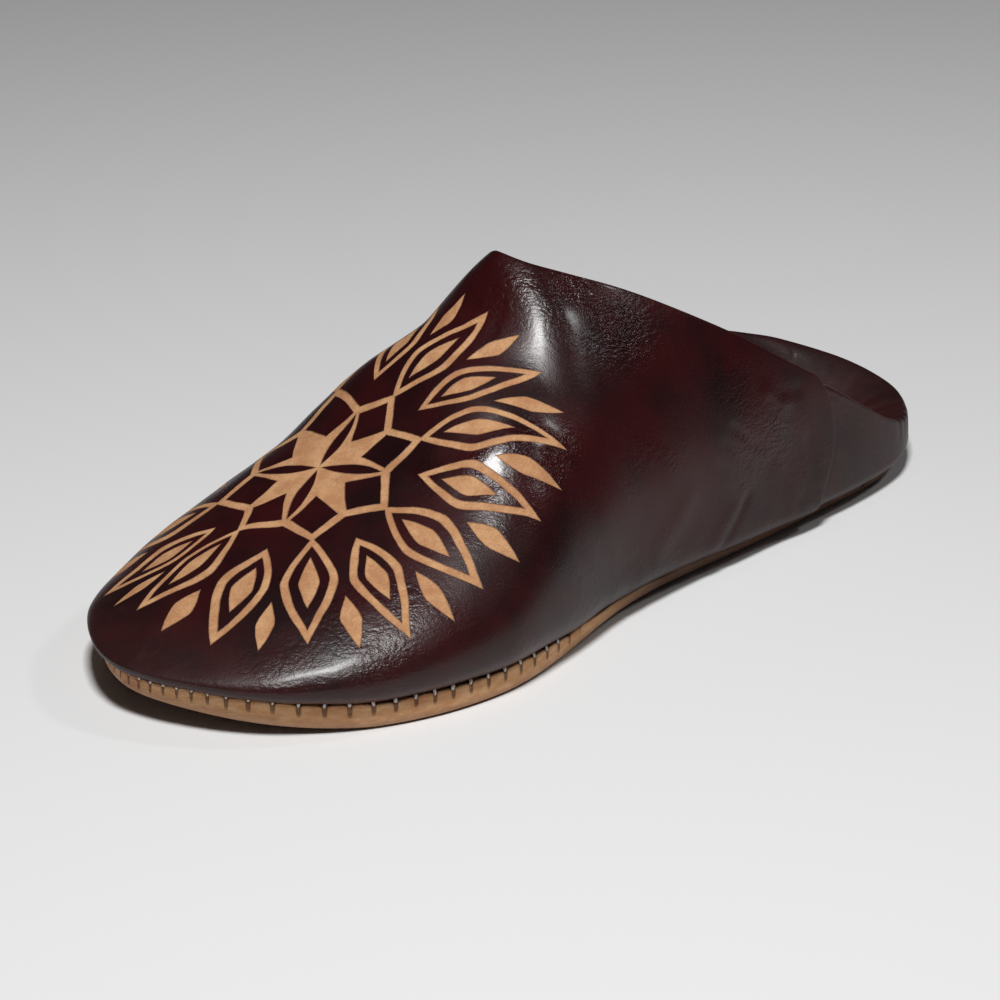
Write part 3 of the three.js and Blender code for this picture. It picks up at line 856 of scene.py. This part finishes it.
def makeVampLining(material):
    endU = lapU - vampLining["endsBefore"] / heelRun
    grid, u = vampGrid(vampLining["front"], vampLining["side"], endU, vampLining["bulge"],
                       vampLining["wall"], vampLining["short"])
    points, faces, normals, first = dentedSurface(grid)
    outer = proudOf(u, grid.shape[1], vampLining["bulge"], first) - vamp["leather"] - vampLining["under"]
    inner = np.minimum(outer - vampLining["thick"], -slipper["wall"] + vampLining["inside"])
    skin, allFaces, _ = makeSkin(points, faces, normals, outer, inner)
    return makePiece("vampLining", skin, allFaces, material)


back = {"columns": 95, "bulge": 12, "wall": 22, "crest": 8, "flap": 34, "tuck": 6.5, "sunk": 0.45,
        "crestDrop": 1.3, "leather": 1.55, "wearAndSheen": 0.8}


def makeBack(material):
    fold = slipper["foldRadius"]
    startU = lapU - back["tuck"] / heelRun
    forward = startU + (1 - startU) * np.linspace(0, 1, back["columns"] + 1)
    columns, allU = [], []
    for s, u in ((1.0, forward), (-1.0, forward[-2::-1])):
        under = smoothstep(lapU - u, 0, back["tuck"] / heelRun)
        topU = leanedTop(u)
        top = collarRho(s, topU, fold + back["crestDrop"] * under)
        rows = footRows(s, u, back["bulge"]) + wallRows(s, u, topU, top, back["wall"])
        start = wallPoint(s, topU, top)
        pole = np.array([0, yAt(1) - slipper["flapPole"], 0])
        inward = (pole - start) * np.array([1, 1, 0])
        inward /= np.linalg.norm(inward, axis=1, keepdims=True)
        edgeY = yAt(slipper["flapEdgeAlong"]) - slipper["flapEdgeBow"] * (start[:, 0] / heelHalf) ** 2
        run = np.maximum((start[:, 1] - edgeY) / -inward[:, 1] - fold, 1)
        crest = start[:, 2] + fold
        share = (topU - lapEnd) / (1 - lapEnd)
        drop = (crest - flapRest) * smoothstep(share, -0.1, slipper["flapFallsBy"])
        for i in range(1, back["crest"] + 1):
            angle = math.pi / 2 * i / back["crest"]
            point = start + inward * (fold * (1 - math.cos(angle)))
            point[:, 2] = start[:, 2] + fold * math.sin(angle)
            rows.append(point)
        for i in range(1, back["flap"] + 1):
            along = i / back["flap"]
            point = start + inward * (fold + run * along)[:, None]
            point[:, 2] = crest - drop * smoothstep(along, 0, 1)
            rows.append(point)
        columns.append(np.stack(rows, axis=1))
        allU.append(u)
    grid = np.concatenate(columns)
    u = np.concatenate(allU)
    points, faces, _, first = dentedSurface(grid)
    normals = meanNormals(points, faces)
    under = smoothstep(lapU - u, 0, back["tuck"] / heelRun)[:, None] + np.zeros(grid.shape[:2])
    sunk = (under * back["sunk"]).reshape(-1)[first]
    skin, allFaces, onOuter = makeSkin(points, faces, normals, -sunk, -back["leather"])
    piece = makePiece("backPiece", skin, allFaces, material)
    addGlaze(piece, skin, onOuter, back["wearAndSheen"])
    return piece


stitches = {"long": 1.7, "thick": 0.85, "until": 0.36, "step": 0.25, "seed": 7}
sole = {"columns": 700, "wave": 0.22, "scallop": 0.35, "across": 14, "seamInset": 0.3, "seamDrop": 0.15,
        "stitchedTo": (0.36, 0.44)}


# A slab that follows the sole's plan. profile gives its side's rows from bottom to top, and
# sag lowers the top inside them.
def makeSlab(name, profile, columns, across, material, sag=None):
    u = np.arange(columns + 1) / columns
    ring = [(1.0, u), (-1.0, u[-2:0:-1])]
    grid = np.concatenate([np.stack(profile(side, part), axis=1) for side, part in ring])
    points, faces, _ = weave(grid, True)
    count = len(grid)
    caps, extra = [], []
    base = len(points)
    _, weld = np.unique(np.round(grid.reshape(-1, 3), 3), axis=0, return_inverse=True)
    weld = weld.reshape(grid.shape[:2])
    for row, upward in ((0, False), (grid.shape[1] - 1, True)):
        loop = weld[:, row]
        right = loop[:columns + 1]
        left = loop[(count - np.arange(columns + 1)) % count]
        strip = [right]
        for k in range(1, across):
            t = k / across
            inside = points[right] * (1 - t) + points[left] * t
            if sag is not None and upward:
                inside[:, 2] += sag(inside)
            extra.append(inside)
            strip.append(base + np.arange(columns + 1))
            base += columns + 1
        strip.append(left)
        for one, two in zip(strip, strip[1:]):
            a, b, c, d = one[:-1], one[1:], two[1:], two[:-1]
            order = ((a, b, c), (a, c, d)) if upward else ((a, c, b), (a, d, c))
            caps += [np.column_stack(order[0]), np.column_stack(order[1])]
    allPoints = np.concatenate([points] + extra)
    allFaces = np.concatenate([faces] + caps)
    _, keep, weldAgain = np.unique(np.round(allPoints, 3), axis=0, return_index=True, return_inverse=True)
    allFaces = weldAgain.reshape(-1)[allFaces]
    fine = (allFaces[:, 0] != allFaces[:, 1]) & (allFaces[:, 1] != allFaces[:, 2])
    fine &= allFaces[:, 2] != allFaces[:, 0]
    piece = makePiece(name, allPoints[keep], allFaces[fine], material)
    return piece, grid


def soleHeights(side, u):
    return last("rim", edge(side, u, 0 * u)[:, 1])


def slabRow(side, u, inset, height):
    plan = edge(side, u, -np.broadcast_to(inset, len(u)))
    return np.column_stack([plan, np.broadcast_to(height, len(u)) + lift(plan[:, 1])])


# The seam once round the rim, and how many stitches it takes to get to each place from the
# toe tip, less than 0 on the inner side, so that slits, scallops and stitches fall together.
def seamPath(columns):
    u = np.arange(columns + 1) / columns
    parts = []
    for side, part in ((1.0, u), (-1.0, u[-2:0:-1])):
        parts.append(slabRow(side, part, sole["seamInset"], soleHeights(side, part) - sole["seamDrop"]))
    path = np.concatenate(parts)
    steps = np.linalg.norm(np.diff(np.concatenate([path, path[:1]]), axis=0), axis=1)
    lengths = np.concatenate([[0], np.cumsum(steps)])[:-1]
    lengths = np.where(lengths > lengths[columns], lengths - steps.sum(), lengths)
    fine = np.arange(0, steps.sum(), stitches["step"])
    pitch = monotone(stitchRows["from"], stitchRows["apart"])(fine[:-1])
    counted = np.concatenate([[0], np.cumsum(stitches["step"] / pitch)])
    return path, np.sign(lengths) * np.interp(np.abs(lengths), fine, counted)


# How far apart the stitches are, by the seam's length from the toe tip, in millimetres.
stitchRows = {
    "from": [0, 18, 32, 45, 60, 78, 100, 400],
    "apart": [3.6, 3.9, 5.6, 6.2, 5.8, 5.0, 5.5, 5.5],
}
seam, seamCount = seamPath(sole["columns"])


def outsoleProfile(side, u):
    rim = soleHeights(side, u)
    path = edge(side, u, 0 * u)
    wave = sole["wave"] * (np.sin(path[:, 0] * 0.31 + path[:, 1] * 0.17) + np.sin(path[:, 1] * 0.43)) / 2
    at = np.round(np.where(side > 0, u, 2 - u) * sole["columns"]).astype(int)
    drawnIn = np.abs(np.cos(math.pi * seamCount[at % len(seamCount)])) ** 6
    stitched = 1 - smoothstep(alongOf(path[:, 1]), *sole["stitchedTo"])
    rim = rim + wave - sole["wave"] - drawnIn * sole["scallop"] * stitched
    rows = [(2.6, 0), (1.6, 0.08), (0.8, 0.45), (0.25, 1.1), (0.02, 1.9)]
    rows += [(0.0, 1.9 + (rim - 2.9) * share) for share in (0.2, 0.4, 0.6, 0.8, 1.0)]
    rows += [(0.06, rim - 0.3), (0.22, rim - 0.08), (0.5, rim), (slipper["rimWidth"], rim)]
    rows += [(slipper["rimWidth"], slipper["floor"])]
    return [slabRow(side, u, inset, height) for inset, height in rows]


def insoleProfile(side, u):
    inset = slipper["rimWidth"] + slipper["wall"] + 3 * slipper["gap"]
    low = slipper["floor"] + slipper["gap"]
    rows = [(inset, low), (inset, insoleTop - 0.7), (inset + 0.2, insoleTop - 0.2), (inset + 0.8, insoleTop)]
    return [slabRow(side, u, gap, height) for gap, height in rows]


# The foot has pressed the insole down a little under the heel and the ball.
def footprint(points):
    along = alongOf(points[:, 1])
    heel = np.exp(-((along - 0.87) / 0.08) ** 2 - (points[:, 0] / 15) ** 2)
    ball = np.exp(-((along - 0.3) / 0.12) ** 2 - (points[:, 0] / 26) ** 2)
    return -0.6 * (heel + ball)


soleShades = {"tan": tint(212, 156, 106), "pale": tint(226, 178, 132), "red": tint(190, 118, 78),
              "grey": tint(150, 116, 98), "under": tint(92, 66, 52), "slitShade": tint(96, 52, 30),
              "heelShade": tint(70, 44, 32)}


# Vegetable-tanned sole leather with the awl's slits under each stitch, darkened as painted shade.
def soleLeather(name):
    finish = Finish(name, {"IOR": 1.45})
    spot = finish.place()
    count, height, top = finish.split(finish.layer("seam", "Vector"))
    _, back, _ = finish.split(spot)
    heelward = back / slipper["soleLength"] + 0.5
    streak = finish.noise(finish.scaled(spot, (1, 1, 3.2)), 5, 4, 0.65)
    fibre = finish.noise(finish.scaled(spot, (1, 1, 1.6)), 0.8, 5, 0.75)
    tone = finish.colour(finish.step(streak, 0.38, 0.68), soleShades["tan"], soleShades["pale"])
    red = finish.step(finish.noise(finish.moved(spot, (9, 3, 40)), 11, 3, 0.6), 0.52, 0.7)
    tone = finish.colour(red * 0.55, tone, soleShades["red"])
    # Greyer towards the bottom, and the lowest edge dark brown: dirt on the sole and painted contact shade
    # where it meets the floor.
    low = 1 - finish.step(height + (streak - 0.5) * 2, 0.8, 3.6)
    tone = finish.colour(low * 0.6, tone, soleShades["grey"])
    under = 1 - finish.step(height + (fibre - 0.5) * 0.5, 0.25, 0.9)
    tone = finish.colour(under * 0.85, tone, soleShades["under"])
    beside = finish.maths("PINGPONG", count, 0.5) * 5.2
    below = top - height
    uneven = finish.noise(spot, 7, 1)
    # Painted shade: each awl slit under a stitch is darkened, standing in for the shade inside the slit.
    slitShade = 1 - finish.step(beside + below * 0.06, 0.3, 0.75)
    slitShade = slitShade * (1 - finish.step(below + uneven * 1.6, 2.2, 3.9))
    slitShade = slitShade * finish.step(uneven, 0.15, 0.4) * (1 - finish.step(heelward, 0.36, 0.42))
    tone = finish.colour(slitShade * 0.75, tone, soleShades["slitShade"])
    # Painted shade: from the waist to the heel the rim is darkened, standing in for the shade under the
    # upper's overhang.
    shaded = finish.step(heelward + (streak - 0.5) * 0.05, 0.4, 0.56)
    tone = finish.colour(shaded * 0.88, tone, soleShades["heelShade"])
    relief = fibre * 0.12 + streak * 0.25 - slitShade * 0.5
    return finish.done({"Base Color": tone, "Roughness": 0.66 + fibre * 0.2, "Normal": finish.bump(relief)})


def makeOutsole(material):
    piece, grid = makeSlab("soleLeather", outsoleProfile, sole["columns"], sole["across"], material)
    coordinates = np.empty(len(piece.data.vertices) * 3)
    piece.data.vertices.foreach_get("co", coordinates)
    spots = coordinates.reshape(-1, 3) / millimetre - toFrame
    flat = grid.reshape(-1, 3)
    rowsPerColumn = grid.shape[1]
    count = np.repeat(seamCount, rowsPerColumn)
    heights = flat[:, 2] - lift(flat[:, 1])
    tops = np.repeat(heights.reshape(-1, rowsPerColumn)[:, -3], rowsPerColumn)
    table = {tuple(key): i for i, key in enumerate(np.round(flat, 2))}
    values = np.zeros((len(spots), 3))
    for i, key in enumerate(np.round(spots, 2)):
        at = table.get(tuple(key))
        if at is not None:
            values[i] = (count[at], heights[at], tops[at])
        else:
            values[i] = (0.5, spots[i][2] - lift(spots[i][1]), 9)
    addLayer(piece, "seam", values)
    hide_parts("outsole")
    order = np.argsort(seamCount)
    along = np.where(seamCount > 0, alongOf(seam[:, 1]), -alongOf(seam[:, 1]))[order]
    most = np.floor(np.interp([stitches["until"]], along, seamCount[order]))[0]
    shown = np.arange(-most, most + 1)
    return np.stack([np.interp(shown, seamCount[order], seam[order, k]) for k in range(3)], axis=1)


# Hand stitches over the rim's top edge, one on each awl hole.
def makeStitches(path, material):
    mesh = bpy.data.meshes.new("stitches")
    spots = (path + toFrame) * millimetre
    mesh.from_pydata(spots.tolist(), [(i, i + 1) for i in range(len(spots) - 1)], [])
    piece = addObject("stitches", mesh)

    tree = bpy.data.node_groups.new("stitchRow", "GeometryNodeTree")
    tree.interface.new_socket("Geometry", in_out="INPUT", socket_type="NodeSocketGeometry")
    names = {}
    for name, kind in (("Long", "NodeSocketFloat"), ("Thick", "NodeSocketFloat"), ("Seed", "NodeSocketInt"),
                       ("Thread", "NodeSocketMaterial")):
        names[name] = tree.interface.new_socket(name, in_out="INPUT", socket_type=kind).identifier
    tree.interface.new_socket("Geometry", in_out="OUTPUT", socket_type="NodeSocketGeometry")

    def node(kind, settings, inputs):
        return addNode(tree, kind, settings, inputs)

    given = node("NodeGroupInput", {}, {})
    curve = node("GeometryNodeMeshToCurve", {}, {0: given.outputs[0]})
    tangent = node("GeometryNodeInputTangent", {}, {})
    turn = node("FunctionNodeAlignRotationToVector", {"axis": "X"}, {"Vector": tangent.outputs[0]})
    size = node("ShaderNodeCombineXYZ", {}, {"X": given.outputs["Thick"], "Y": given.outputs["Thick"],
                                             "Z": given.outputs["Long"]})
    bead = node("GeometryNodeMeshUVSphere", {}, {"Segments": 8, "Rings": 7, "Radius": 0.5})
    vary = node("FunctionNodeRandomValue", {"data_type": "FLOAT_VECTOR"},
                {"Min": (0.85, 0.85, 0.75), "Max": (1.15, 1.1, 1.2), "Seed": given.outputs["Seed"]})
    sized = node("ShaderNodeVectorMath", {"operation": "MULTIPLY"}, {0: size.outputs[0], 1: vary.outputs[0]})
    tilt = node("FunctionNodeRandomValue", {"data_type": "FLOAT_VECTOR"},
                {"Min": (-0.05, -0.28, 0.0), "Max": (0.05, 0.28, 0.0), "Seed": given.outputs["Seed"]})
    leaned = node("FunctionNodeEulerToRotation", {}, {0: tilt.outputs[0]})
    turned = node("FunctionNodeRotateRotation", {"rotation_space": "LOCAL"},
                  {0: turn.outputs[0], 1: leaned.outputs[0]})
    placed = node("GeometryNodeInstanceOnPoints", {},
                  {"Points": curve.outputs[0], "Instance": bead.outputs[0], "Rotation": turned.outputs[0],
                   "Scale": sized.outputs[0]})
    real = node("GeometryNodeRealizeInstances", {}, {0: placed.outputs[0]})
    threaded = node("GeometryNodeSetMaterial", {}, {"Geometry": real.outputs[0],
                                                    "Material": given.outputs["Thread"]})
    node("NodeGroupOutput", {}, {0: threaded.outputs[0]})

    modifier = piece.modifiers.new("stitchRow", "NODES")
    modifier.node_group = tree
    modifier[names["Long"]] = stitches["long"] * millimetre
    modifier[names["Thick"]] = stitches["thick"] * millimetre
    modifier[names["Seed"]] = stitches["seed"]
    modifier[names["Thread"]] = material
    made = bpy.data.meshes.new_from_object(piece.evaluated_get(bpy.context.evaluated_depsgraph_get()))
    piece.modifiers.clear()
    piece.data = made
    made.name = "stitches"
    made.shade_smooth()
    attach(piece, "root")
    print("stitches", len(path), "in the seam,", len(made.polygons), "faces")


def threadFinish(name):
    finish = Finish(name, {"IOR": 1.5})
    spot = finish.place()
    strands = finish.noise(finish.scaled(spot, (1, 1, 0.5)), 0.3, 3, 0.6)
    shade = finish.colour(finish.step(strands, 0.35, 0.65), tint(168, 158, 150), tint(236, 232, 226))
    return finish.done({"Base Color": shade, "Roughness": 0.6 + strands * 0.2,
                        "Normal": finish.bump(strands * 0.1)})


carvedSkin = glazedLeather("carvedGoatskin", True)
plainSkin = glazedLeather("glazedGoatskin", False)
liningSkin = plainLeather("undyedLining", lining)
insoleSkin = plainLeather("insoleLeather", insoleShades)
soleSkin = soleLeather("soleLeather")
linenThread = threadFinish("linenThread")
print("finishes made")

vampPiece = makeVamp(carvedSkin)
liningPiece = makeVampLining(liningSkin)
backPiece = makeBack(plainSkin)
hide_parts("upper")
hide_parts("upper")
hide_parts("upper")
awlHoles = makeOutsole(soleSkin)
insolePiece, _ = makeSlab("insoleBoard", insoleProfile, 220, 20, insoleSkin, footprint)
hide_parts("insole")
makeStitches(awlHoles, linenThread)

studio = {
    "azimuth": 48, "elevation": 23, "distance": 0.9, "lens": 124.24,
    "aimAt": (-2.85, -0.95, 30), "aimRight": -9.9, "aimUp": -10.7,
    "room": 0.42, "floorReach": 4.0,
}


# The way out from the slipper to a lamp or the camera.
def wayTo(azimuth, elevation):
    turn, rise = math.radians(azimuth), math.radians(elevation)
    return Vector((math.sin(turn) * math.cos(rise), -math.cos(turn) * math.cos(rise), math.sin(rise)))


def placeCamera():
    backward = wayTo(studio["azimuth"], studio["elevation"])
    turn = math.radians(studio["azimuth"])
    right = Vector((math.cos(turn), math.sin(turn), 0))
    upward = backward.cross(right)
    aim = Vector(studio["aimAt"]) + right * studio["aimRight"] + upward * studio["aimUp"]
    data = bpy.data.cameras.new("photoCamera")
    data.lens = studio["lens"]
    data.sensor_width = 36
    data.clip_start = 0.01
    camera = addObject("photoCamera", data)
    axes = Matrix((right, upward, backward)).transposed().to_4x4()
    camera.matrix_world = Matrix.Translation(aim * millimetre + backward * studio["distance"]) @ axes
    bpy.context.scene.camera = camera


lamps = [
    {"name": "overToe", "azimuth": 45, "elevation": 66, "away": 1.1,
     "wide": 0.2, "high": 0.14, "power": 10.0},
    {"name": "behind", "azimuth": 146, "elevation": 48, "away": 1.2,
     "wide": 0.12, "high": 0.12, "power": 1.2},
]


def placeLamps():
    for lamp in lamps:
        data = bpy.data.lights.new(lamp["name"], "AREA")
        data.shape = "RECTANGLE"
        data.size = lamp["wide"]
        data.size_y = lamp["high"]
        data.energy = lamp["power"]
        item = addObject(lamp["name"], data)
        way = wayTo(lamp["azimuth"], lamp["elevation"])
        facing = way.to_track_quat("Z", "Y").to_matrix().to_4x4()
        item.matrix_world = Matrix.Translation(way * lamp["away"]) @ facing
    world = bpy.data.worlds.new("paleRoom")
    world.use_nodes = True
    world.node_tree.nodes["Background"].inputs["Strength"].default_value = studio["room"]
    bpy.context.scene.world = world


def placeFloor():
    finish = Finish("paleFloor", {"Base Color": (0.86, 0.86, 0.86, 1), "Roughness": 0.9})
    mesh = bpy.data.meshes.new("paleFloor")
    reach = studio["floorReach"]
    mesh.from_pydata([(-reach, -reach, 0), (reach, -reach, 0), (reach, reach, 0), (-reach, reach, 0)], [],
                     [(0, 1, 2, 3)])
    mesh.materials.append(finish.material)
    addObject("paleFloor", mesh)


placeCamera()
placeLamps()
bpy.context.scene.view_settings.view_transform = "Standard"
placeFloor()
print("studio set")
